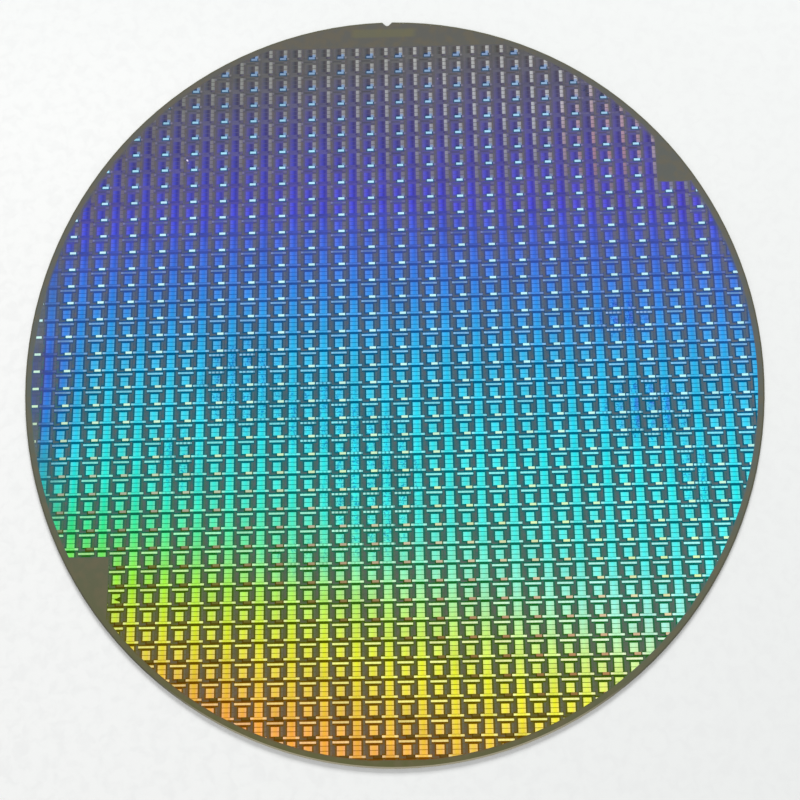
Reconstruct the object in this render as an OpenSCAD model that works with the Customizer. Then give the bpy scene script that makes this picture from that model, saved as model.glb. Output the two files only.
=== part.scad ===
// Patterned silicon wafer with a V notch and the shallow relief of its circuit blocks.
// Lengths are millimetres and angles are degrees. The middle of the back face is the origin,
// the back lies on z = 0, the patterned face looks up +Z, and the notch points along +Y.

/* [Disc] */
// Diameter of the wafer
wafer_d = 200; // [150:1:300]
// Thickness of the wafer under the circuit relief
wafer_t = 0.725; // [0.6:0.005:1]

/* [Edge] */
// Radius of the rounded outer edge
edge_r = 0.25; // [0.15:0.01:0.28]
// Slope of the bevels between the outer edge and the two faces
bevel_angle = 22; // [15:1:40]

/* [Notch] */
// Depth of the notch, from the rim to its bottom
notch_depth = 1.15; // [0.8:0.05:2]
// Angle between the two flanks of the notch
notch_angle = 90; // [80:1:100]
// Radius at the bottom of the notch
notch_r = 0.9; // [0.5:0.05:1.5]
// Width of the bevel that runs round the notch on both faces
notch_bevel = 0.15; // [0.05:0.01:0.25]

/* [Die grid] */
// Width of one die
die_w = 8.33; // [7:0.01:20]
// Height of one die
die_h = 4.658; // [4.3:0.002:12]
// Bare ring between the printed area and the rim
bare_ring = 1.7; // [1:0.1:6]
// Bare segment beside the notch, from the rim to the first row of dies
mark_strip = 7.98; // [3:0.02:15]
// Columns of dies from the middle line out to each unprinted corner
corner_column = 9; // [7:1:11]
// Rows of dies from the first row down to the foot of the unprinted upper right corner
upper_corner_rows = 9; // [6:1:14]
// Rows of dies from the first row down to the head of the unprinted lower left corner
lower_corner_rows = 30; // [26:1:36]

/* [Circuit blocks] */
// Height that the circuit blocks stand proud of the face
relief_h = 0.01; // [0.005:0.001:0.03]
// Width of the blocks, in the long columns and in the squares
block_w = 2.11; // [1:0.01:3]
// Height of the square blocks
square_h = 2.28; // [1:0.01:4]
// Distance from the left edge of a die to its square block
square_x = 1.09; // [0.5:0.01:1.2]
// Distance from the top edge of a die to its square block
square_y = 0.03; // [0.02:0.01:0.3]
// Distance from the left edge of a die to its long column
column_x = 5.21; // [4.3:0.01:5.3]

/* [Hidden] */

$fn = 180;
wafer_r = wafer_d / 2;
print_r = wafer_r - bare_ring;
first_row_y = wafer_r - mark_strip;
corner_x = corner_column * die_w;
upper_corner_y = first_row_y - upper_corner_rows * die_h;
lower_corner_y = first_row_y - lower_corner_rows * die_h;
column_count = ceil(print_r / die_w);
row_count = ceil((first_row_y + print_r) / die_h);
edge_steps = 6; // facets from the middle of the round edge to each bevel
overrun = 0.05; // how far a cutter runs past the face that it cuts
root = 0.1; // how deep the circuit blocks are rooted in the disc

// Whether a point lies where the dies are printed
function is_printed(x, y) =
    norm([x, y]) < print_r && y < first_row_y
    && !(x > corner_x && y > upper_corner_y)
    && !(x < -corner_x && y < lower_corner_y);

// Whether the whole of a block, from its lower left corner, lies where the dies are printed
function is_whole(x, y, w, h) =
    is_printed(x, y) && is_printed(x + w, y)
    && is_printed(x, y + h) && is_printed(x + w, y + h);

// Half of the disc's section: flat faces, two bevels and a round edge that meets them smoothly
module edge_section() {
    centre = [wafer_r - edge_r, wafer_t / 2];
    half_turn = 90 - bevel_angle;
    round_edge = [
        for (step = [-edge_steps:edge_steps])
            let (angle = step * half_turn / edge_steps)
            centre + edge_r * [cos(angle), sin(angle)]
    ];
    touch = round_edge[2 * edge_steps];
    bevel_x = touch.x - (wafer_t - touch.y) / tan(bevel_angle);
    polygon(concat([[0, 0], [bevel_x, 0]], round_edge, [[bevel_x, wafer_t], [0, wafer_t]]));
}

module disc() {
    color("dimgray") rotate_extrude() edge_section();
}

// Cutter of one flank's bevel: x points into the wafer and y outward along the flank
module flank_bevel(length) {
    translate([0, length, 0]) rotate([90, 0, 0]) linear_extrude(length)
        polygon([
            [-overrun, wafer_t - notch_bevel - overrun],
            [-overrun, wafer_t + overrun],
            [notch_bevel + overrun, wafer_t + overrun]
        ]);
}

// Bevel round the notch on the upper face: a cone at the bottom and one cutter for each flank
module notch_bevels(touch, reach) {
    translate([0, 0, wafer_t - notch_bevel - overrun])
        cylinder(
            h = notch_bevel + 2 * overrun,
            r1 = notch_r - overrun, r2 = notch_r + notch_bevel + overrun
        );
    for (side = [0, 1]) mirror([side, 0, 0])
        translate(touch) rotate([0, 0, -notch_angle / 2]) flank_bevel(reach);
}

// Everything that the notch takes from the disc
module notch() {
    half = notch_angle / 2;
    touch = notch_r * [cos(half), -sin(half)];
    reach = 3 * notch_depth;
    mouth = touch + reach * [sin(half), cos(half)];
    translate([0, wafer_r - notch_depth + notch_r, 0]) {
        translate([0, 0, -overrun]) linear_extrude(wafer_t + 2 * overrun) {
            circle(r = notch_r);
            polygon([[-touch.x, touch.y], touch, mouth, [-mouth.x, mouth.y]]);
        }
        notch_bevels(touch, reach);
        translate([0, 0, wafer_t]) mirror([0, 0, 1]) notch_bevels(touch, reach);
    }
}

// Face area that carries dies
module printed_area() {
    difference() {
        circle(r = print_r);
        translate([-wafer_r, first_row_y]) square([wafer_d, mark_strip]);
        translate([corner_x, upper_corner_y]) square(wafer_r);
        translate([-corner_x - wafer_r, lower_corner_y - wafer_r]) square(wafer_r);
    }
}

// Long memory blocks, which follow each other down every column of dies
module block_columns() {
    color("dodgerblue") translate([0, 0, wafer_t - root]) linear_extrude(root + relief_h)
        intersection() {
            printed_area();
            for (column = [-column_count:column_count - 1])
                translate([column * die_w + column_x, -wafer_r]) square([block_w, wafer_d]);
        }
}

// Square memory blocks, one on each die that is printed whole
module block_squares() {
    color("mediumturquoise")
        for (column = [-column_count:column_count - 1], row = [0:row_count]) {
            x = column * die_w + square_x;
            y = first_row_y - row * die_h - square_y - square_h;
            if (is_whole(x, y, block_w, square_h))
                translate([x, y, wafer_t - root]) cube([block_w, square_h, root + relief_h]);
        }
}

module wafer() {
    difference() {
        disc();
        notch();
    }
    block_columns();
    block_squares();
}

wafer();
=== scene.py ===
import math

import bmesh
import bpy
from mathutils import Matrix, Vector


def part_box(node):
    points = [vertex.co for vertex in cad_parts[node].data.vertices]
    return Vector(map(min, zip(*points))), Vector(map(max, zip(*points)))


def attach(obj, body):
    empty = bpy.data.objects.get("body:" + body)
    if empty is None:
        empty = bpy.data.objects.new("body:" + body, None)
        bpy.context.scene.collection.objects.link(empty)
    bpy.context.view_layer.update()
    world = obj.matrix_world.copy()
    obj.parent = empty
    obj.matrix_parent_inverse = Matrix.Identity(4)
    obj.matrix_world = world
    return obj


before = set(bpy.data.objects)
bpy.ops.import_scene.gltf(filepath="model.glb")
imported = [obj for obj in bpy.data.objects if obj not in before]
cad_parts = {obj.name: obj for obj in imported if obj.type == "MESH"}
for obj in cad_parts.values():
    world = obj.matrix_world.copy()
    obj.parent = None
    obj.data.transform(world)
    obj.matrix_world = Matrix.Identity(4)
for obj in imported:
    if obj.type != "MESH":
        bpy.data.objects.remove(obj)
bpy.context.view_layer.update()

METRE = 1
MM = 0.001
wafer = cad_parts["wafer"]
wafer_low, wafer_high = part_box("wafer")
WAFER_R = (wafer_high.x - wafer_low.x) / 2
RELIEF_TOP = wafer_high.z

# Die grid and unprinted places: the same sizes as in the part's source
DIE_W = 8.33 * MM
DIE_H = 4.658 * MM
MARK_STRIP = 7.98 * MM
CORNER_COLUMN = 9
UPPER_CORNER_ROWS = 9
LOWER_CORNER_ROWS = 30
FIRST_ROW_Y = WAFER_R - MARK_STRIP
CORNER_X = CORNER_COLUMN * DIE_W
UPPER_CORNER_Y = FIRST_ROW_Y - UPPER_CORNER_ROWS * DIE_H
LOWER_CORNER_Y = FIRST_ROW_Y - LOWER_CORNER_ROWS * DIE_H

# Where the visible print ends, just inside the end of the relief
BARE_RING = 1.95 * MM
VISIBLE_ROWS = 40.75
PRINT_R = WAFER_R - BARE_RING
FOOT_Y = FIRST_ROW_Y - VISIBLE_ROWS * DIE_H

# How many dies cover it. A row is added at the top, because a die's lowest blocks reach into
# the die below it.
COLUMNS = 2 * math.ceil(PRINT_R / DIE_W)
ROWS = math.ceil((FIRST_ROW_Y + PRINT_R) / DIE_H) + 1
TOP_ROW_Y = FIRST_ROW_Y + DIE_H

# Heights over the back face. Layers that cross are a step apart.
STEP = 0.001 * MM
PLATE_FOOT = RELIEF_TOP - 0.015 * MM
SHADE_RING_TOP = RELIEF_TOP + 0.005 * MM
PLATE_TOP = RELIEF_TOP + 0.012 * MM
FLECK_TOP = RELIEF_TOP + 0.016 * MM

# One die, from its top left corner: left edge, top edge, width and height in millimetres.
# Each half of a die holds a memory block with a grey strip at its right.
BLOCK_W = 2.06
BLOCK_PITCH = 1.17
SQUARE_BLOCKS = [(1.15, 0.08, BLOCK_W, 1.05), (1.15, 1.25, BLOCK_W, 1.06)]
COLUMN_BLOCKS = [(5.27, 3.61 + BLOCK_PITCH * n, BLOCK_W, 1.03) for n in range(3)]
SQUARE_STRIPS = [(3.28, 0.06, 0.98, 1.03), (3.28, 1.23, 0.98, 1.09)]
COLUMN_STRIPS = [(7.42, 3.55 + BLOCK_PITCH * n, 0.94, 1.03) for n in range(3)]
SHORT_BARS = [(0.08, 3.61, 4.17, 0.5)]
WIDE_BARS = [(4.22, 2.41, 4.14, 0.51)]
PADS = [(2.21, 2.35, 1.7, 0.61)]


def grown(rectangle, sides, above, below):
    """A rectangle that reaches further at its sides, above and below."""
    left, down, width, height = rectangle
    return (left - sides, down - above, width + 2 * sides, height + above + below)


# Dark rings of painted shade round the printed pieces: how far they reach round the outlines
# that they surround, past the ends of a bar and above a square. Those of a column run over
# the whole wafer in one length.
EDGE = 0.34
END = 0.16
ABOVE_SQUARE = 0.59
WHOLE_COLUMN = 200
SQUARE_SHADE_RINGS = [grown((1.12, 0.07, 2.11, 2.26), EDGE, ABOVE_SQUARE, EDGE)]
COLUMN_SHADE_RINGS = [grown((5.24, 0, 2.11, WHOLE_COLUMN), EDGE, 0, 0)]
BAR_SHADE_RINGS = [
    grown((0.06, 3.57, 4.2, 0.58), END, EDGE, EDGE),
    grown((4.2, 2.38, 4.15, 0.57), END, EDGE, EDGE)]
PAD_SHADE_RINGS = [grown((2.2, 2.35, 1.71, 0.61), EDGE, EDGE, EDGE)]


# ---- Short names for nodes ----

def srgb(red, green, blue):
    """A linear colour from its 0 to 255 display values."""
    def linear(value):
        value /= 255
        return value / 12.92 if value <= 0.04045 else ((value + 0.055) / 1.055) ** 2.4
    return (linear(red), linear(green), linear(blue), 1)


def add(tree, kind, inputs=None, **settings):
    """A new node with its settings, and its inputs linked or set."""
    node = tree.nodes.new(kind)
    for name, value in settings.items():
        setattr(node, name, value)
    for name, value in (inputs or {}).items():
        if isinstance(value, bpy.types.NodeSocket):
            tree.links.new(value, node.inputs[name])
        else:
            node.inputs[name].default_value = value
    return node


def maths(tree, operation, first, second=0.0, third=0.0):
    return add(tree, "ShaderNodeMath", {0: first, 1: second, 2: third},
               operation=operation).outputs[0]


def times(tree, first, *others):
    for other in others:
        first = maths(tree, "MULTIPLY", first, other)
    return first


def highest(tree, first, *others):
    for other in others:
        first = maths(tree, "MAXIMUM", first, other)
    return first


def distance(tree, value, middle):
    """How far a value is from a middle value."""
    return maths(tree, "ABSOLUTE", maths(tree, "SUBTRACT", value, middle))


def rise(tree, value, low, high):
    """A smooth step from 0 at low to 1 at high. It falls where low is the greater."""
    flip = low > high
    step = add(tree, "ShaderNodeMapRange", {
        0: value, 1: min(low, high), 2: max(low, high), 3: float(flip), 4: float(not flip)},
        interpolation_type="SMOOTHSTEP")
    return step.outputs[0]


def band(tree, value, start, full, last, end):
    """A smooth step from 0 at start to 1 at full, and down again from last to end."""
    return times(tree, rise(tree, value, start, full), rise(tree, value, end, last))


def slide(tree, value, low, high, at_low, at_high):
    """A straight line from one number at low to another at high, level outside them."""
    return add(tree, "ShaderNodeMapRange", {
        0: value, 1: low, 2: high, 3: at_low, 4: at_high}).outputs[0]


def mix(tree, factor, first, second, blend="MIX"):
    return add(tree, "ShaderNodeMix", {0: factor, 6: first, 7: second},
               data_type="RGBA", blend_type=blend).outputs[2]


def tint(tree, colour, other, mask, strength, blend="MIX"):
    """A colour with another laid over it where a mask says, at a strength from 0 to 1."""
    return mix(tree, times(tree, mask, strength), colour, other, blend)


def parts(tree, vector):
    """The x, y and z of a vector."""
    return add(tree, "ShaderNodeSeparateXYZ", {0: vector}).outputs


def length(tree, vector):
    return add(tree, "ShaderNodeVectorMath", {0: vector}, operation="LENGTH").outputs["Value"]


def noise(tree, place, scale, detail, roughness=0.5, distortion=0.0):
    return add(tree, "ShaderNodeTexNoise", {
        "Vector": place, "Scale": scale, "Detail": detail, "Roughness": roughness,
        "Distortion": distortion}).outputs["Fac"]


def use(tree, group, inputs=None):
    """The outputs of a node group, placed with its input values."""
    return add(tree, "ShaderNodeGroup", inputs, node_tree=group).outputs


# ---- Pieces that repeat on every die ----

RIM_SIDES = 720
BAKE_MAP = "OFBake"  # the flat map of the whole wafer that goes on each printed piece has this name


def box_between(tree, low, high):
    """Geometry of a box between two corners."""
    low, high = Vector(low), Vector(high)
    cube = add(tree, "GeometryNodeMeshCube", {"Size": high - low})
    return add(tree, "GeometryNodeTransform", {
        "Geometry": cube.outputs["Mesh"], "Translation": (low + high) / 2}).outputs[0]


def printed_area(tree):
    """Geometry of a solid over the part of the face that carries dies."""
    reach, depth = 2 * WAFER_R, 5 * MM
    disc = add(tree, "GeometryNodeMeshCylinder", {
        "Vertices": RIM_SIDES, "Radius": PRINT_R, "Depth": depth})
    area = add(tree, "GeometryNodeMeshBoolean", {"Mesh 1": disc.outputs["Mesh"]},
               operation="DIFFERENCE", solver="MANIFOLD")
    bare_places = [
        box_between(tree, (-reach, FIRST_ROW_Y, -depth), (reach, reach, depth)),
        box_between(tree, (CORNER_X, UPPER_CORNER_Y, -depth), (reach, reach, depth)),
        box_between(tree, (-reach, -reach, -depth), (-CORNER_X, LOWER_CORNER_Y, depth)),
        box_between(tree, (-reach, -reach, -depth), (reach, FOOT_Y, depth))]
    for bare_place in bare_places:
        tree.links.new(bare_place, area.inputs["Mesh 2"])
    return area.outputs[0]


def make_die_repeat():
    """Geometry Nodes tree that repeats one die's plates and trims them to the printed area.

    A flat map of the whole wafer goes on the result.
    """
    tree = bpy.data.node_groups.new("Repeat over dies", "GeometryNodeTree")
    face = tree.interface
    face.new_socket("Geometry", in_out="INPUT", socket_type="NodeSocketGeometry")
    for name, kind in (("Die width", "NodeSocketFloat"), ("Die height", "NodeSocketFloat"),
                       ("Columns", "NodeSocketInt"), ("Rows", "NodeSocketInt"),
                       ("First row", "NodeSocketFloat"), ("Finish", "NodeSocketMaterial")):
        face.new_socket(name, in_out="INPUT", socket_type=kind)
    face.new_socket("Geometry", in_out="OUTPUT", socket_type="NodeSocketGeometry")
    given = add(tree, "NodeGroupInput").outputs
    width = times(tree, maths(tree, "SUBTRACT", given["Columns"], 1), given["Die width"])
    height = times(tree, maths(tree, "SUBTRACT", given["Rows"], 1), given["Die height"])
    grid = add(tree, "GeometryNodeMeshGrid", {
        "Size X": width, "Size Y": height,
        "Vertices X": given["Columns"], "Vertices Y": given["Rows"]})
    middle = add(tree, "ShaderNodeCombineXYZ", {
        "X": times(tree, given["Die width"], -0.5),
        "Y": maths(tree, "MULTIPLY_ADD", height, -0.5, given["First row"])})
    corners = add(tree, "GeometryNodeTransform", {
        "Geometry": grid.outputs["Mesh"], "Translation": middle.outputs[0]})
    dies = add(tree, "GeometryNodeInstanceOnPoints", {
        "Points": corners.outputs[0], "Instance": given["Geometry"]})
    plates = add(tree, "GeometryNodeRealizeInstances", {"Geometry": dies.outputs[0]})
    trimmed = add(tree, "GeometryNodeMeshBoolean", operation="INTERSECT", solver="MANIFOLD")
    tree.links.new(plates.outputs[0], trimmed.inputs["Mesh 2"])
    tree.links.new(printed_area(tree), trimmed.inputs["Mesh 2"])
    map_place = add(tree, "ShaderNodeVectorMath", {
        0: add(tree, "GeometryNodeInputPosition").outputs[0],
        1: (0.5 / WAFER_R, 0.5 / WAFER_R, 0), 2: (0.5, 0.5, 0)}, operation="MULTIPLY_ADD")
    mapped = add(tree, "GeometryNodeStoreNamedAttribute", {
        "Geometry": trimmed.outputs[0], "Name": BAKE_MAP, "Value": map_place.outputs[0]},
        data_type="FLOAT2", domain="CORNER")
    finished = add(tree, "GeometryNodeSetMaterial", {
        "Geometry": mapped.outputs[0], "Material": given["Finish"]})
    add(tree, "NodeGroupOutput", {"Geometry": finished.outputs[0]})
    return tree


def plates_of_one_die(rectangles, top):
    """Mesh of thin closed plates, from rectangles measured from a die's top left corner."""
    shape = bmesh.new()
    for left, down, width, height in rectangles:
        box = bmesh.ops.create_cube(shape, size=1)["verts"]
        bmesh.ops.scale(shape, verts=box, vec=(width * MM, height * MM, top - PLATE_FOOT))
        centre = ((left + width / 2) * MM, -(down + height / 2) * MM, (top + PLATE_FOOT) / 2)
        bmesh.ops.translate(shape, verts=box, vec=centre)
    mesh = bpy.data.meshes.new("plates of one die")
    shape.to_mesh(mesh)
    shape.free()
    return mesh


def add_piece(name, mesh):
    piece = bpy.data.objects.new(name, mesh)
    bpy.context.scene.collection.objects.link(piece)
    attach(piece, "root")
    return piece


def die_plates(name, rectangles, top, material, first_row=TOP_ROW_Y, rows=ROWS):
    """One piece that holds the same plates on every die, trimmed to the printed area."""
    source = bpy.data.objects.new(name + " source", plates_of_one_die(rectangles, top))
    bpy.context.scene.collection.objects.link(source)
    repeat = source.modifiers.new("Repeat over dies", "NODES")
    repeat.node_group = die_repeat
    sizes = {"Die width": DIE_W, "Die height": DIE_H, "Columns": COLUMNS, "Rows": rows,
             "First row": first_row, "Finish": material}
    for socket in die_repeat.interface.items_tree:
        if socket.name in sizes:
            repeat[socket.identifier] = sizes[socket.name]
    evaluated = source.evaluated_get(bpy.context.evaluated_depsgraph_get())
    mesh = bpy.data.meshes.new_from_object(evaluated)
    bpy.data.objects.remove(source)
    return add_piece(name, mesh)


# ---- Node groups that several finishes share ----

def new_group(name, inputs, outputs):
    """An empty shader node group, with its sockets."""
    tree = bpy.data.node_groups.new(name, "ShaderNodeTree")
    for socket in inputs:
        tree.interface.new_socket(socket, in_out="INPUT", socket_type="NodeSocketFloat")
    for socket in outputs:
        tree.interface.new_socket(socket, in_out="OUTPUT", socket_type="NodeSocketFloat")
    return tree


def object_place(tree, unit):
    """Object coordinates in a given unit of length."""
    return add(tree, "ShaderNodeVectorMath", {
        0: add(tree, "ShaderNodeTexCoord").outputs["Object"], 1: (1 / unit, 1 / unit, 1 / unit)},
        operation="MULTIPLY").outputs[0]


def polynomial(tree, terms):
    """Sum of factor * product of sockets, from (factor, sockets) pairs."""
    total = 0.0
    for factor, sockets in terms:
        total = maths(tree, "ADD", times(tree, factor, *sockets), total)
    return total


def make_colour_sweep():
    """Where a point lies in the sweep of diffraction colours, which bends over the wafer.

    Places are in wafer radii. The sweep runs from 0 at the foot to 1 at the notch, and the
    side from 0 near the left rim to 1 near the right one.
    """
    tree = new_group("Colour sweep", ("Shift", "Lean", "Rim shift"), ("Sweep", "Side", "Rim"))
    given = add(tree, "NodeGroupInput").outputs
    x, y, _ = parts(tree, object_place(tree, WAFER_R))
    left_rim = times(
        tree, rise(tree, x, -0.78, -1.0), rise(tree, distance(tree, y, -0.075), 0.3, 0.05))
    sweep = polynomial(tree, [
        (1.0, [y]), (0.08, [x]), (0.06, [x, x]), (-0.2, [x, y]), (0.035, [x, x, y]),
        (0.012, [x, y, y]), (0.024, [y, y, y]), (-0.036, [x, x, x]),
        (1.0, [given["Lean"], x]), (1.0, [given["Rim shift"], left_rim]), (1.0, [given["Shift"]])])
    add(tree, "NodeGroupOutput", {
        "Sweep": maths(tree, "MULTIPLY_ADD", sweep, 0.5, 0.5),
        "Side": maths(tree, "MULTIPLY_ADD", x, 0.625, 0.5),
        "Rim": left_rim})
    return tree


def make_die_cell():
    """Where a point lies in its half of a die, with a chance value for that half.

    Across runs from 0 at the left of the half to 1 at its right, and down from 0 at the top of
    the die to 1 at its foot. Column half is 1 in the half whose blocks stand in a long column.
    """
    tree = new_group("Die cell", (), ("Across", "Down", "Column half", "Chance"))
    x, y, _ = parts(tree, object_place(tree, METRE))
    across = maths(tree, "DIVIDE", x, DIE_W / 2)
    down = maths(tree, "DIVIDE", maths(tree, "SUBTRACT", FIRST_ROW_Y, y), DIE_H)
    cell = add(tree, "ShaderNodeCombineXYZ", {
        "X": maths(tree, "FLOOR", across), "Y": maths(tree, "FLOOR", down)})
    chance = add(tree, "ShaderNodeTexWhiteNoise", {"Vector": cell.outputs[0]},
                 noise_dimensions="2D")
    half = maths(tree, "FRACT", maths(tree, "MULTIPLY", maths(tree, "FLOOR", across), 0.5))
    add(tree, "NodeGroupOutput", {
        "Across": maths(tree, "FRACT", across), "Down": maths(tree, "FRACT", down),
        "Column half": maths(tree, "MULTIPLY", half, 2), "Chance": chance.outputs["Value"]})
    return tree


def spot(tree, place, x, y, reach_x, reach_y):
    """Mask that falls from 1 near a point to 0 at its reach."""
    offset = add(tree, "ShaderNodeVectorMath", {0: place, 1: (x, y, 0)}, operation="SUBTRACT")
    scaled = add(tree, "ShaderNodeVectorMath", {
        0: offset.outputs[0], 1: (1 / reach_x, 1 / reach_y, 0)}, operation="MULTIPLY")
    return rise(tree, length(tree, scaled.outputs[0]), 1.0, 0.2)


# Places where handling has left a stain: x, y and the reach along each in millimetres,
# and the strength
STAINS = [
    (68, -12.5, 15, 11, 1.4),
    (63, 12, 10, 8, 0.9),
    (-41, -4, 17, 19, 0.55),
    (-20, -12, 18, 16, 0.6),
    (-6, -30, 20, 30, 0.6),
    (-24, -48, 22, 10, 0.25),
    (79, -30, 8, 14, 0.6),
    (-58, -24, 12, 16, 0.35),
    (60, 76, 14, 12, 0.3)]


def make_handling_stains():
    """How stained a point is, with the dark speckle of a stain."""
    tree = new_group("Handling stains", (), ("Stain", "Speckle"))
    place = object_place(tree, MM)
    stain = 0.0
    for x, y, reach_x, reach_y, strength in STAINS:
        one_stain = times(tree, spot(tree, place, x, y, reach_x, reach_y), strength)
        stain = highest(tree, one_stain, stain)
    patches = noise(tree, place, scale=0.4, detail=4, roughness=0.6)
    stain = times(tree, stain, rise(tree, patches, 0.3, 0.52))
    dots = noise(tree, place, scale=2.2, detail=2)
    speckle = times(tree, rise(tree, dots, 0.52, 0.62), rise(tree, stain, 0.05, 0.4))
    add(tree, "NodeGroupOutput", {"Stain": stain, "Speckle": speckle})
    return tree


def make_rim_fade():
    """How far the print beside the rim fades into the ground, and turns a warmer grey.

    Places are in millimetres. The print fades on both upper sides, at the left above and
    below the middle, and most of all on the cut squares at the left rim.
    """
    tree = new_group("Rim fade", (), ("Fade", "Warmth"))
    place = object_place(tree, MM)
    x, y, _ = parts(tree, place)
    radius = length(tree, place)
    from_middle = distance(tree, y, -3)
    upper_sides = times(
        tree, rise(tree, radius, 96.9, 98.2), band(tree, y, -2, 16, 60, 85), 0.9)
    left_side = times(
        tree, rise(tree, radius, 91, 97), rise(tree, x, -60, -80),
        band(tree, from_middle, 8, 22, 32, 42), 0.4)
    left_squares = rise(tree, x, -95.3, -95.8)
    warmth = maths(tree, "MULTIPLY_ADD", rise(tree, from_middle, 6, 12), 0.4, 0.1)
    add(tree, "NodeGroupOutput", {
        "Fade": highest(tree, upper_sides, left_side, times(tree, left_squares, 0.8)),
        "Warmth": times(tree, left_squares, warmth)})
    return tree


def make_fine_circuits():
    """Brightness of the finest circuit rows and cells, which only just show."""
    tree = new_group("Fine circuits", ("Contrast",), ("Brightness",))
    contrast = add(tree, "NodeGroupInput").outputs["Contrast"]
    place = object_place(tree, MM)
    rows = add(tree, "ShaderNodeTexBrick", {
        "Vector": place, "Scale": 1, "Color1": srgb(255, 255, 255), "Color2": srgb(150, 150, 150),
        "Mortar": srgb(90, 90, 90), "Mortar Size": 0.03, "Brick Width": 0.53, "Row Height": 0.28})
    patches = noise(tree, place, scale=0.9, detail=3)
    shade = maths(tree, "ADD", times(tree, rows.outputs["Color"], 0.5), times(tree, patches, 1.3))
    mean_shade = 0.95
    brightness = maths(
        tree, "MULTIPLY_ADD", maths(tree, "SUBTRACT", shade, mean_shade), contrast, 1.0)
    add(tree, "NodeGroupOutput", {"Brightness": brightness})
    return tree


# ---- Colours over the sweep ----
# A stop's place runs from -100 at the foot of the wafer to 100 at the notch.

BLOCK_LEFT = [
    (90, (80, 85, 100)), (70, (70, 70, 155)), (45, (70, 80, 225)), (20, (45, 140, 235)),
    (-15, (45, 220, 245)), (-37, (35, 240, 210)), (-50, (50, 240, 135)), (-63, (145, 245, 40)),
    (-80, (220, 230, 50)), (-100, (245, 160, 55))]
BLOCK_RIGHT = [
    (90, (95, 95, 85)), (65, (80, 75, 150)), (45, (80, 75, 225)), (22, (50, 140, 240)),
    (0, (40, 205, 250)), (-20, (40, 245, 250)), (-40, (90, 250, 250)), (-52, (175, 255, 240)),
    (-64, (225, 255, 150)), (-75, (255, 255, 50)), (-100, (250, 200, 75))]
BAR_LEFT = [
    (85, (80, 85, 90)), (55, (80, 80, 135)), (35, (90, 110, 175)), (10, (120, 180, 225)),
    (-20, (115, 220, 225)), (-50, (150, 240, 170)), (-65, (200, 240, 125)),
    (-80, (230, 235, 120)), (-100, (240, 170, 115))]
BAR_RIGHT = [
    (85, (90, 85, 85)), (55, (80, 75, 120)), (35, (90, 110, 175)), (10, (120, 190, 240)),
    (-20, (130, 245, 245)), (-50, (200, 255, 245)), (-65, (255, 255, 195)),
    (-80, (255, 255, 140)), (-100, (255, 235, 150))]
PAD_LEFT = [
    (90, (120, 145, 175)), (60, (160, 220, 245)), (40, (195, 235, 255)), (15, (205, 250, 255)),
    (-30, (205, 240, 205)), (-50, (160, 160, 140)), (-66, (105, 115, 50)), (-100, (100, 85, 20))]
PAD_RIGHT = [
    (90, (135, 160, 200)), (72, (170, 220, 250)), (40, (195, 240, 250)), (10, (185, 250, 255)),
    (-30, (225, 255, 180)), (-45, (230, 200, 165)), (-60, (195, 135, 90)), (-75, (115, 90, 35)),
    (-100, (95, 50, 25))]
STRIP_LEFT = [
    (90, (115, 120, 115)), (75, (95, 90, 100)), (50, (110, 105, 130)), (20, (80, 100, 125)),
    (-20, (65, 105, 110)), (-40, (60, 115, 90)), (-60, (80, 110, 60)), (-100, (120, 100, 75))]
STRIP_RIGHT = [
    (90, (195, 195, 195)), (72, (190, 195, 205)), (55, (130, 130, 155)), (40, (100, 100, 135)),
    (20, (80, 105, 130)), (-20, (60, 110, 110)), (-60, (85, 105, 85)), (-100, (115, 105, 75))]
# Colours of the dark rings of painted shade round the printed pieces
RING_SHADE = [
    (90, (95, 95, 95)), (50, (90, 85, 135)), (30, (65, 80, 135)), (5, (15, 85, 120)),
    (-30, (10, 105, 110)), (-50, (30, 110, 80)), (-65, (60, 95, 10)), (-95, (120, 80, 10))]
BLOCK_RING_SHADE = [
    (90, (100, 100, 100)), (50, (85, 80, 165)), (30, (50, 80, 165)), (5, (0, 90, 140)),
    (-30, (0, 110, 115)), (-55, (20, 105, 30)), (-70, (70, 90, 0)), (-95, (120, 70, 0))]
PAD_RING_SHADE = [
    (90, (65, 85, 105)), (45, (55, 90, 140)), (0, (25, 95, 130)), (-30, (10, 100, 95)),
    (-50, (45, 90, 35)), (-65, (75, 75, 15)), (-100, (95, 60, 10))]
GROUND = [
    (90, (90, 90, 95)), (65, (95, 95, 100)), (30, (75, 90, 125)), (-10, (50, 100, 115)),
    (-45, (60, 105, 95)), (-75, (90, 95, 40)), (-95, (105, 85, 50))]
BARE = [(95, (95, 95, 90)), (10, (95, 100, 95)), (-100, (95, 95, 60))]


# ---- Single colours laid over those ----

FROST = srgb(235, 225, 245)
WARM_GREY = srgb(106, 98, 96)
RIM_GREY = srgb(112, 114, 100)
RIGHT_GREY = srgb(120, 120, 122)
BROWN_MOTTLE = srgb(108, 96, 92)
VIOLET_GLOW = srgb(88, 78, 150)
PINK_CAST = srgb(172, 84, 118)
STAIN_BLUE = srgb(90, 160, 215)
BLOCK_SIDE_SHADE = srgb(255, 241, 231)
BLOCK_SHADE = srgb(20, 15, 35)
PAD_SHADOW_ON_BLOCK = srgb(25, 60, 100)
BLOCK_AT_RIM = srgb(20, 30, 60)
BAR_AT_RIM = srgb(60, 80, 120)
WIDE_BAR_SHADE = srgb(190, 180, 225)
PAD_GLOW_ON_STRIP = srgb(120, 158, 208)
BARE_CLOUD = srgb(112, 101, 78)
OLIVE_PATCH = srgb(112, 110, 80)
BEVEL_DARK = srgb(88, 87, 70)
BEVEL_REFLECTION = srgb(168, 161, 137)
BACK_DARK = srgb(105, 105, 108)
BACK_PALE = srgb(150, 150, 152)
PAPER_PALE = srgb(244, 245, 244)
PAPER_SHADE = srgb(236, 238, 237)
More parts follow.
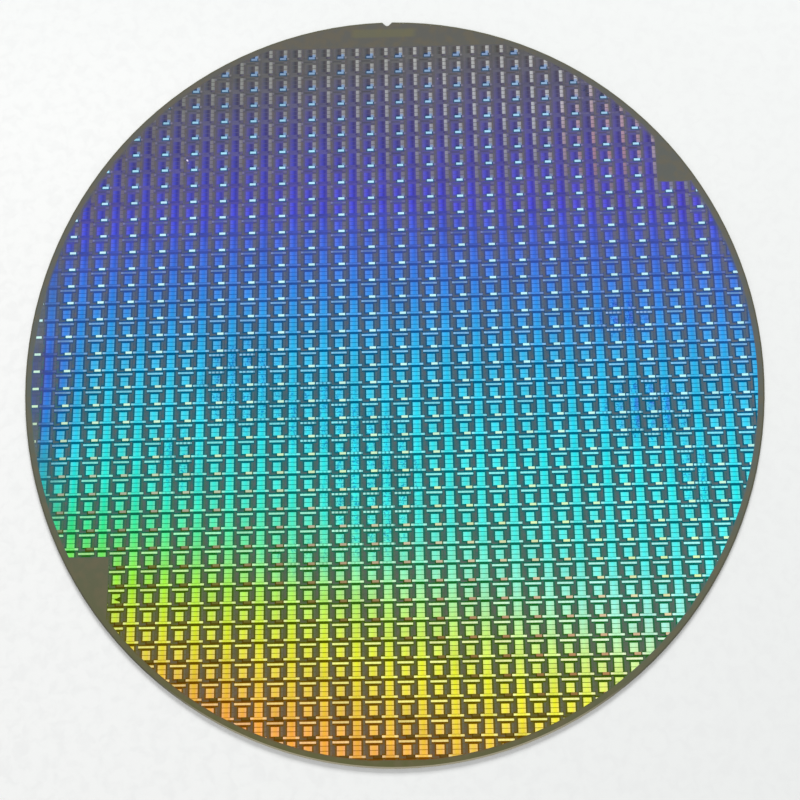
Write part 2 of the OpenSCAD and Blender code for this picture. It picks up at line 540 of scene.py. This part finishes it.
CREASE_SHADE = srgb(229, 230, 230)


# ---- Finishes of the printed layers ----

# How much the fine circuits show on the printed layers and on the ground
PRINT_CONTRAST = 0.15
GROUND_CONTRAST = 0.2


def ramp(tree, sweep, stops):
    """A list of stops read where the sweep of colours has come to."""
    node = add(tree, "ShaderNodeValToRGB", {0: sweep["Sweep"]})
    elements = node.color_ramp.elements
    while len(elements) < len(stops):
        elements.new(1.0)
    for element, (place, colour) in zip(elements, sorted(stops)):
        element.position = (place / 100 + 1) / 2
        element.color = srgb(*colour)
    return node.outputs["Color"]


def side_to_side(tree, sweep, left, right):
    """Two lists of stops, blended from the left of the wafer to the right."""
    return mix(tree, sweep["Side"], ramp(tree, sweep, left), ramp(tree, sweep, right))


def finish(name, roughness, metallic, specular):
    """A new material, its node tree and its shader."""
    material = bpy.data.materials.new(name)
    material.use_nodes = True
    shader = material.node_tree.nodes["Principled BSDF"]
    shader.inputs["Roughness"].default_value = roughness
    shader.inputs["Metallic"].default_value = metallic
    shader.inputs["Specular IOR Level"].default_value = specular
    return material, material.node_tree, shader


def printed_finish(name, left, right, shade=None, spread=0.12, specular=0.08,
                   shift=None, lean=0.0, rim_shift=0.41, fades=True):
    """Finish of a printed layer: its colours over the sweep, shaded by a function of its own.

    Each half of a die is lighter or darker by chance, within the spread. The shift is a
    function too, and it moves the sweep on at the stains. The lean and the rim shift move
    it towards the sides and at the left rim.
    """
    material, tree, shader = finish(name, roughness=0.3, metallic=0.4, specular=specular)
    cell = use(tree, die_cell)
    stains = use(tree, handling_stains)
    inputs = {"Lean": lean, "Rim shift": rim_shift}
    if shift:
        inputs["Shift"] = shift(tree, cell, stains)
    sweep = use(tree, colour_sweep, inputs)
    colour = side_to_side(tree, sweep, left, right)
    if shade:
        colour = shade(tree, colour, sweep, cell, stains)
    if fades:
        rim = use(tree, rim_fade)
        colour = mix(tree, rim["Fade"], colour, ramp(tree, sweep, GROUND))
        colour = mix(tree, rim["Warmth"], colour, RIM_GREY)
    chance = maths(tree, "MULTIPLY_ADD", cell["Chance"], spread, 1 - spread / 2)
    detail = use(tree, fine_circuits, {"Contrast": PRINT_CONTRAST})["Brightness"]
    colour = mix(tree, 1.0, colour, times(tree, detail, chance), "MULTIPLY")
    tree.links.new(colour, shader.inputs["Base Color"])
    return material


def towards_right_of_block(tree, cell):
    return rise(tree, cell["Across"], 0.42, 0.62)


def stained_shift(tree, cell, stains):
    """Stains push the colours on, most of all on the right of a block."""
    amount = maths(tree, "MULTIPLY_ADD", towards_right_of_block(tree, cell), 0.12, 0.05)
    return times(tree, stains["Stain"], amount)


def shade_ring(tree, colour, sweep, cell, stains):
    """A ring of painted shade is deeper and bluer in line with the blocks."""
    inside = band(tree, cell["Across"], 0.24, 0.28, 0.76, 0.8)
    return mix(tree, inside, colour, ramp(tree, sweep, BLOCK_RING_SHADE))


def beside_pad(tree, sweep, cell, top, bottom):
    """Mask of the foot of what stands above a pad, near the notch only, where the pad's painted
    shadow and glow lie.
    """
    return times(
        tree, band(tree, cell["Down"], top, top + 0.1, bottom - 0.06, bottom),
        rise(tree, sweep["Sweep"], 0.66, 0.85), maths(tree, "SUBTRACT", 1, cell["Column half"]))


def shade_block(tree, colour, sweep, cell, stains):
    """A block is frosty at its sides, has painted shade on its sides and most of all on its right,
    and stains leave speckle on it.
    """
    across = cell["Across"]
    left = rise(tree, across, 0.48, 0.3)
    right = rise(tree, across, 0.58, 0.74)
    # Painted shade: a block is darker at its sides, most of all on its right.
    side_shade = maths(tree, "MULTIPLY_ADD", left, 0.6, rise(tree, across, 0.45, 0.7))
    colour = mix(tree, side_shade, colour, BLOCK_SIDE_SHADE, "MULTIPLY")
    # Painted shadow over the right of a block near the notch.
    near_notch = rise(tree, sweep["Sweep"], 0.62, 0.72)
    shaded = times(tree, towards_right_of_block(tree, cell), near_notch)
    colour = tint(tree, colour, BLOCK_SHADE, shaded, 0.33)
    sides = maths(tree, "MULTIPLY_ADD", cell["Column half"], -0.25, maths(tree, "ADD", left, right))
    frost = slide(tree, sweep["Sweep"], 0.2, 0.8, at_low=0.11, at_high=0.035)
    colour = tint(tree, colour, FROST, maths(tree, "ADD", sides, 0.25), frost)
    # Painted shadow of the pad over the foot of a block.
    foot = beside_pad(tree, sweep, cell, top=0.36, bottom=0.56)
    foot = times(tree, foot, rise(tree, across, 0.45, 0.58))
    colour = tint(tree, colour, PAD_SHADOW_ON_BLOCK, foot, 0.9)
    colour = tint(tree, colour, STAIN_BLUE, stains["Speckle"], 0.8, "MULTIPLY")
    return tint(tree, colour, BLOCK_AT_RIM, sweep["Rim"], 0.14)


def shade_bar(tree, colour, sweep, cell, stains):
    """A bar is frosty at its ends and beaded along it, most of all where it is stained."""
    across = cell["Across"]
    right_end = times(tree, rise(tree, across, 0.72, 0.9), 0.7)
    ends = maths(tree, "ADD", right_end, rise(tree, across, 0.2, 0.08))
    colour = tint(tree, colour, FROST, ends, 0.12)
    stained = rise(tree, stains["Stain"], 0.08, 0.35)
    colour = tint(tree, colour, FROST, stained, 0.12)
    along_bead = maths(tree, "FRACT", maths(tree, "MULTIPLY_ADD", across, 4, 0.16))
    gap = rise(tree, distance(tree, along_bead, 0.5), 0.22, 0.4)
    gap_strength = maths(tree, "MULTIPLY_ADD", stained, 0.6, 0.08)
    colour = tint(tree, colour, ramp(tree, sweep, RING_SHADE), gap, gap_strength)
    return tint(tree, colour, BAR_AT_RIM, sweep["Rim"], 0.5)


def shade_wide_bar(tree, colour, sweep, cell, stains):
    """A wide bar takes the blocks' colour across their column, and fades near the notch."""
    across = cell["Across"]
    to_notch = rise(tree, sweep["Sweep"], 0.5, 0.72)
    colour = mix(tree, to_notch, colour, WIDE_BAR_SHADE, "MULTIPLY")
    block = side_to_side(tree, sweep, BLOCK_LEFT, BLOCK_RIGHT)
    amount = slide(tree, sweep["Sweep"], 0.54, 0.7, at_low=0.85, at_high=0.3)
    colour = tint(tree, colour, block, band(tree, across, 0.17, 0.28, 0.72, 0.86), amount)
    faded = times(tree, rise(tree, across, 0.78, 0.66), rise(tree, sweep["Sweep"], 0.72, 0.8))
    colour = tint(tree, colour, ramp(tree, sweep, BLOCK_RING_SHADE), faded, 0.85)
    return shade_bar(tree, colour, sweep, cell, stains)


def shade_strip(tree, colour, sweep, cell, stains):
    """A strip fades into the ring of painted shade away from the notch, and its foot takes a
    painted blue glow from a pad.
    """
    across = cell["Across"]
    fade = times(tree, rise(tree, across, 0.9, 0.84), rise(tree, sweep["Sweep"], 0.72, 0.6))
    colour = mix(tree, fade, colour, ramp(tree, sweep, RING_SHADE))
    # Painted blue glow of the pad over the foot of a strip.
    foot = beside_pad(tree, sweep, cell, top=0.3, bottom=0.56)
    colour = tint(tree, colour, PAD_GLOW_ON_STRIP, foot, 0.75)
    pink = spot(tree, object_place(tree, MM), x=62, y=65, reach_x=23, reach_y=22)
    colour = tint(tree, colour, PINK_CAST, pink, 0.45)
    return tint(tree, colour, WARM_GREY, rise(tree, across, 0.9, 0.98), 0.3)


colour_sweep = make_colour_sweep()
die_cell = make_die_cell()
handling_stains = make_handling_stains()
rim_fade = make_rim_fade()
fine_circuits = make_fine_circuits()
die_repeat = make_die_repeat()

block_finish = printed_finish(
    "memory blocks", BLOCK_LEFT, BLOCK_RIGHT, shade_block, shift=stained_shift)
short_bar_finish = printed_finish(
    "short bars", BAR_LEFT, BAR_RIGHT, shade_bar, spread=0.22)
wide_bar_finish = printed_finish(
    "wide bars", BAR_LEFT, BAR_RIGHT, shade_wide_bar, spread=0.22)
pad_finish = printed_finish(
    "pads", PAD_LEFT, PAD_RIGHT, lean=0.11, rim_shift=-0.1, fades=False)
strip_finish = printed_finish("grey strips", STRIP_LEFT, STRIP_RIGHT, shade_strip)
ring_shade_finish = printed_finish("painted shade rings", RING_SHADE, RING_SHADE, shade_ring, specular=0.0)
pad_ring_shade_finish = printed_finish("painted pad shade rings", PAD_RING_SHADE, PAD_RING_SHADE, specular=0.0, lean=0.11)

# Dark plates of painted shade round the printed pieces
die_plates("column_shade_rings", COLUMN_SHADE_RINGS, SHADE_RING_TOP - STEP, ring_shade_finish,
           first_row=FIRST_ROW_Y, rows=1)
die_plates("square_shade_rings", SQUARE_SHADE_RINGS, SHADE_RING_TOP, ring_shade_finish)
die_plates("bar_shade_rings", BAR_SHADE_RINGS, SHADE_RING_TOP + STEP, ring_shade_finish)
die_plates("pad_shade_rings", PAD_SHADE_RINGS, SHADE_RING_TOP + 2 * STEP, pad_ring_shade_finish)
die_plates("memory_blocks", SQUARE_BLOCKS + COLUMN_BLOCKS, PLATE_TOP, block_finish)
die_plates("short_bars", SHORT_BARS, PLATE_TOP, short_bar_finish)
die_plates("wide_bars", WIDE_BARS, PLATE_TOP, wide_bar_finish)
die_plates("grey_strips", SQUARE_STRIPS + COLUMN_STRIPS, PLATE_TOP, strip_finish)
die_plates("pads", PADS, PLATE_TOP + STEP, pad_finish)


# ---- Small flaws: outlines in millimetres on the wafer ----

def flecks(name, outlines, material):
    """One piece of thin closed plates that lie over the printed layers."""
    shape = bmesh.new()
    for outline in outlines:
        foot, top = [
            [shape.verts.new((x * MM, y * MM, height)) for x, y in outline]
            for height in (RELIEF_TOP, FLECK_TOP)]
        shape.faces.new(foot)
        shape.faces.new(top)
        for n in range(len(outline)):
            shape.faces.new((foot[n - 1], foot[n], top[n], top[n - 1]))
    bmesh.ops.recalc_face_normals(shape, faces=shape.faces)
    mesh = bpy.data.meshes.new(name)
    shape.to_mesh(mesh)
    shape.free()
    mesh.materials.append(material)
    return add_piece(name, mesh)


def plain_finish(name, colour, other_colour, scale):
    """A matte finish that wanders between two colours."""
    material, tree, shader = finish(name, roughness=0.7, metallic=0.0, specular=0.2)
    wander = noise(tree, object_place(tree, MM), scale, detail=2)
    colours = mix(tree, wander, srgb(*colour), srgb(*other_colour))
    tree.links.new(colours, shader.inputs["Base Color"])
    return material


DUST = [[
    (-57.52, 59.88), (-57.2, 59.82), (-56.98, 59.52),
    (-57.04, 59.24), (-57.32, 59.28), (-57.54, 59.56)]]
GREY_DUST = [
    [(-57.04, 58.9), (-56.78, 58.84), (-56.7, 58.56), (-56.92, 58.44), (-57.1, 58.62)],
    [(14.1, 82.4), (14.42, 82.44), (14.54, 82.12), (14.28, 81.9), (14.04, 82.08)]]
CHIP = [[(-73.37, -58.5), (-71.72, -57.78), (-71.72, -59.02)]]
SCRATCH = [[(89.88, -9.4), (90.04, -9.54), (90.4, -8.96), (90.2, -8.88)]]
SCORE = [[
    (89.9, -10.2), (90.06, -10.3), (89.8, -11.3),
    (89.52, -11.9), (89.34, -11.8), (89.6, -11.2)]]

dust_finish = plain_finish("pale dust", (232, 225, 250), (215, 205, 240), scale=3)
grey_dust_finish = plain_finish("grey dust", (135, 115, 165), (115, 110, 130), scale=2)
scratch_finish = plain_finish("scratch", (140, 210, 235), (100, 180, 215), scale=4)
score_finish = plain_finish("score", (15, 140, 200), (20, 110, 165), scale=4)

flecks("dust", DUST, dust_finish)
flecks("grey_dust", GREY_DUST, grey_dust_finish)
flecks("chipped_block", CHIP, ring_shade_finish)
flecks("scratch", SCRATCH, scratch_finish)
flecks("score", SCORE, score_finish)


# ---- The wafer itself: places in millimetres ----

FACE_ROUGHNESS = 0.2
BACK_ROUGHNESS = 0.5


def ground_colour(tree, place, sweep, cell):
    """Ground between the printed pieces: mottled, violet near the notch, greyer at the sides."""
    across = cell["Across"]
    x, _, _ = parts(tree, place)
    glow = times(
        tree, band(tree, across, 0.05, 0.28, 0.4, 0.6),
        band(tree, sweep["Sweep"], 0.62, 0.78, 0.85, 0.95))
    ground = tint(tree, ramp(tree, sweep, GROUND), VIOLET_GLOW, glow, 0.6)
    mottle = noise(tree, place, scale=0.8, detail=2)
    ground = tint(tree, ground, BROWN_MOTTLE, rise(tree, mottle, 0.45, 0.7), 0.4)
    ground = tint(tree, ground, WARM_GREY, rise(tree, across, 0.12, 0.04), 0.3)
    ground = tint(tree, ground, RIGHT_GREY, rise(tree, x, 30, 95), 0.22)
    ground = mix(tree, use(tree, rim_fade)["Warmth"], ground, RIM_GREY)
    detail = use(tree, fine_circuits, {"Contrast": GROUND_CONTRAST})["Brightness"]
    return mix(tree, 1.0, ground, detail, "MULTIPLY")


def bare_colour(tree, place, sweep):
    """Unprinted silicon: cloudy, with an olive patch beside the notch."""
    x, y, _ = parts(tree, place)
    clouds = noise(tree, place, scale=0.35, detail=3)
    bare = tint(tree, ramp(tree, sweep, BARE), BARE_CLOUD, rise(tree, clouds, 0.4, 0.65), 0.35)
    patch = times(tree, band(tree, x, -11, -9, 7, 9), band(tree, y, 94.9, 95.7, 97.4, 98.2))
    return tint(tree, bare, OLIVE_PATCH, patch, 0.5)


def bare_places(tree, x, y, radius):
    """Mask of the ring, the strip beside the notch, the foot and the two corners left bare."""
    rim, first_row, foot = PRINT_R / MM, FIRST_ROW_Y / MM, FOOT_Y / MM
    corner, upper, lower = CORNER_X / MM, UPPER_CORNER_Y / MM, LOWER_CORNER_Y / MM
    return highest(
        tree, rise(tree, radius, rim - 0.1, rim + 0.5),
        rise(tree, y, first_row, first_row + 0.5),
        rise(tree, y, foot, foot - 0.3),
        times(tree, rise(tree, x, corner, corner + 0.4), rise(tree, y, upper, upper + 0.4)),
        times(tree, rise(tree, x, -corner, -corner - 0.4), rise(tree, y, lower, lower - 0.4)))


def make_wafer_finish():
    """Ground, bare places, bevelled edge with a painted reflection towards the foot, and matte back
    in one finish.
    """
    material, tree, shader = finish("bare silicon", FACE_ROUGHNESS, metallic=0.5, specular=0.2)
    place = object_place(tree, MM)
    x, y, z = parts(tree, place)
    flat_place = add(tree, "ShaderNodeCombineXYZ", {"X": x, "Y": y})
    radius = length(tree, flat_place.outputs[0])
    sweep = use(tree, colour_sweep)
    ground = ground_colour(tree, place, sweep, use(tree, die_cell))
    bare = bare_colour(tree, place, sweep)
    face = mix(tree, bare_places(tree, x, y, radius), ground, bare)
    rim = WAFER_R / MM
    # Painted reflection: the bevel turns pale towards the foot of the wafer.
    bevel_and_reflection = mix(tree, rise(tree, y, -76, -94), BEVEL_DARK, BEVEL_REFLECTION)
    face = mix(tree, rise(tree, radius, rim - 0.62, rim - 0.5), face, bevel_and_reflection)

    grain = noise(tree, place, scale=6, detail=4)
    haze = noise(tree, place, scale=0.03, detail=2)
    back_shade = maths(tree, "MULTIPLY_ADD", grain, 0.25, times(tree, haze, 0.5))
    back = mix(tree, back_shade, BACK_DARK, BACK_PALE)
    is_back = rise(tree, z, 0.05, 0.02)
    roughness = maths(
        tree, "MULTIPLY_ADD", is_back, BACK_ROUGHNESS - FACE_ROUGHNESS, FACE_ROUGHNESS)
    bump = add(tree, "ShaderNodeBump", {
        "Strength": 0.3, "Distance": 0.02 * MM, "Height": times(tree, grain, is_back)})
    tree.links.new(mix(tree, is_back, face, back), shader.inputs["Base Color"])
    tree.links.new(roughness, shader.inputs["Roughness"])
    tree.links.new(bump.outputs[0], shader.inputs["Normal"])
    return material


wafer.data.materials[0] = make_wafer_finish()


# ---- Floor, light and camera: places in metres ----

def make_floor_finish():
    """Off-white paper with faint creases of painted shade, and painted shade that darkens it a
    little towards the right and the back.
    """
    material, tree, shader = finish("floor", roughness=0.9, metallic=0.0, specular=0.1)
    place = object_place(tree, METRE)
    x, y, _ = parts(tree, place)
    # Painted shade: the paper darkens towards the right and the back.
    to_back = times(tree, rise(tree, y, 0.06, 0.13), 0.7)
    painted_shade = maths(tree, "ADD", rise(tree, x, -0.14, 0.14), to_back)
    paper = mix(tree, painted_shade, PAPER_PALE, PAPER_SHADE)
    creases = noise(tree, place, scale=320, detail=3, distortion=0.6)
    # Painted shade in the paper's creases.
    paper = tint(tree, paper, CREASE_SHADE, rise(tree, creases, 0.4, 0.7), 0.3)
    tree.links.new(paper, shader.inputs["Base Color"])
    return material


bpy.ops.mesh.primitive_plane_add(size=6)
floor = bpy.context.object
floor.name = "floor"
floor.data.materials.append(make_floor_finish())


def add_world(light):
    """A white world that lights at a given strength, and looks plain white."""
    world = bpy.data.worlds.new("studio")
    bpy.context.scene.world = world
    world.use_nodes = True
    tree = world.node_tree
    background = tree.nodes["Background"]
    background.inputs["Color"].default_value = (1, 1, 1, 1)
    rays = add(tree, "ShaderNodeLightPath").outputs
    seen = highest(
        tree, rays["Is Camera Ray"], rays["Is Glossy Ray"], rays["Is Transmission Ray"])
    strength = maths(tree, "MULTIPLY_ADD", seen, 1 - light, light)
    tree.links.new(strength, background.inputs["Strength"])


def add_lamp(name, place, width, height, power):
    """A soft oblong lamp that points at the wafer."""
    data = bpy.data.lights.new(name, "AREA")
    data.shape = "RECTANGLE"
    data.size = width
    data.size_y = height
    data.energy = power
    lamp = bpy.data.objects.new(name, data)
    bpy.context.scene.collection.objects.link(lamp)
    lamp.location = place
    lamp.visible_glossy = False
    lamp.rotation_euler = (-Vector(place)).to_track_quat("-Z", "Y").to_euler()


def add_camera(place, angles, lens, shift):
    """The scene's camera, turned by angles in degrees."""
    data = bpy.data.cameras.new("camera")
    data.lens = lens
    data.shift_x, data.shift_y = shift
    data.clip_start = 0.01
    camera = bpy.data.objects.new("camera", data)
    bpy.context.scene.collection.objects.link(camera)
    camera.location = place
    camera.rotation_euler = [math.radians(angle) for angle in angles]
    bpy.context.scene.camera = camera


add_world(light=0.6)
add_lamp("key lamp", place=(0.14, 2.2, 0.85), width=1.3, height=0.44, power=72)
add_camera(place=(0.0082, -0.0059, 0.1905 + RELIEF_TOP), angles=(8.22, 0.75, -1.16),
           lens=31.5, shift=(-0.0175, -0.1403))
bpy.context.scene.view_settings.view_transform = "Standard"
